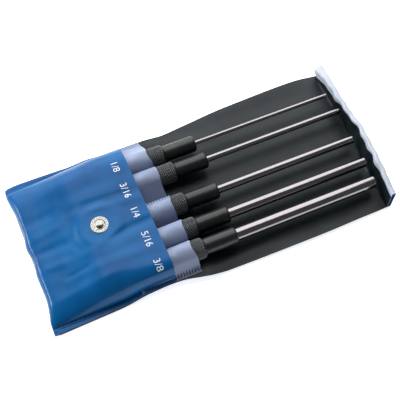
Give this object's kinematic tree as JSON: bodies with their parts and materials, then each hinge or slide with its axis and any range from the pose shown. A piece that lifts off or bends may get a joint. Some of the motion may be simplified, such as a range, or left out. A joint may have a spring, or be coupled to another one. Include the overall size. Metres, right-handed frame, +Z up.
{
  "type": "drive punch set in pouch",
  "caption": "Extra-long drive punches with knurled grips, held in the channels of an open vinyl snap pouch whose flap is folded under.",
  "frame": {"origin": "on the table under the middle of the set as it lies, half-way along and across it", "axes": "+X from the smallest punch to the largest, +Y from the pouch's bottom fold to the punch tips, +Z up"},
  "size_m": [0.1312, 0.2754, 0.0249],
  "materials": {
    "blue_vinyl": "glossy, soft, wrinkled",
    "pale_vinyl": "satin",
    "grey_vinyl": "satin",
    "black_vinyl": "satin",
    "nickel": "polished nickel plate",
    "spring_wire": "drawn wire",
    "black_oxide": "black oxide on machined steel",
    "ground_steel": "ground steel"
  },
  "bodies": {
    "pouch": {"cover_back": "blue_vinyl", "liner": "black_vinyl", "front_panel": "blue_vinyl", "pocket_band": "grey_vinyl", "snap_stud": "nickel", "stud_washer": "nickel"},
    "flap_wall": {"flap_wall": "pale_vinyl", "liner_lip": "black_vinyl"},
    "flap_crest": {"flap_crest": "pale_vinyl"},
    "flap_neck": {"flap_neck": "pale_vinyl"},
    "flap_panel": {"flap_panel": "blue_vinyl", "snap_socket": "nickel", "socket_spring": "spring_wire", "snap_cap": "nickel"},
    "punch_1_8": {"punch_1_8_body": "black_oxide", "punch_1_8_pin": "ground_steel"},
    "punch_3_16": {"punch_3_16_body": "black_oxide", "punch_3_16_pin": "ground_steel"},
    "punch_1_4": {"punch_1_4_body": "black_oxide", "punch_1_4_pin": "ground_steel"},
    "punch_5_16": {"punch_5_16_body": "black_oxide", "punch_5_16_pin": "ground_steel"},
    "punch_3_8": {"punch_3_8_body": "black_oxide", "punch_3_8_pin": "ground_steel"}
  },
  "joints": [
    {"name": "flap_fold", "type": "hinge", "parent": "flap_wall", "child": "flap_crest", "pos_m": [0, 0.13156, 0.02121], "axis": [-1, 0, 0], "range_deg": [-104, 0]},
    {"name": "wall_fold", "type": "hinge", "parent": "pouch", "child": "flap_wall", "pos_m": [0, 0.13034, 0.00125], "axis": [-1, 0, 0], "range_deg": [-3.5, 0]},
    {"name": "neck_fold", "type": "hinge", "parent": "flap_crest", "child": "flap_neck", "pos_m": [0, 0.13731, 0.02046], "axis": [-1, 0, 0], "range_deg": [-162.5, 0]},
    {"name": "panel_fold", "type": "hinge", "parent": "flap_neck", "child": "flap_panel", "pos_m": [0, 0.13731, 0.00035], "axis": [-1, 0, 0], "range_deg": [-91.15, 0]},
    {"name": "slide_1_8", "type": "slide", "parent": "pouch", "child": "punch_1_8", "axis": [0, 0.9397, 0.342], "range_m": [0, 0.065], "deforming": ["front_panel", "pocket_band", "flap_wall", "liner_lip", "flap_crest", "flap_neck"]},
    {"name": "slide_3_16", "type": "slide", "parent": "pouch", "child": "punch_3_16", "axis": [0, 0.9397, 0.342], "range_m": [0, 0.065], "deforming": ["front_panel", "pocket_band", "flap_wall", "liner_lip", "flap_crest", "flap_neck"]},
    {"name": "slide_1_4", "type": "slide", "parent": "pouch", "child": "punch_1_4", "axis": [0, 0.9397, 0.342], "range_m": [0, 0.065], "deforming": ["front_panel", "pocket_band", "flap_wall", "liner_lip", "flap_crest", "flap_neck"]},
    {"name": "slide_5_16", "type": "slide", "parent": "pouch", "child": "punch_5_16", "axis": [0, 0.9397, 0.342], "range_m": [0, 0.065], "deforming": ["front_panel", "pocket_band", "flap_wall", "liner_lip", "flap_crest", "flap_neck"]},
    {"name": "slide_3_8", "type": "slide", "parent": "pouch", "child": "punch_3_8", "axis": [0, 0.9397, 0.342], "range_m": [0, 0.065], "deforming": ["front_panel", "pocket_band", "flap_wall", "liner_lip", "flap_crest", "flap_neck"]}
  ]
}
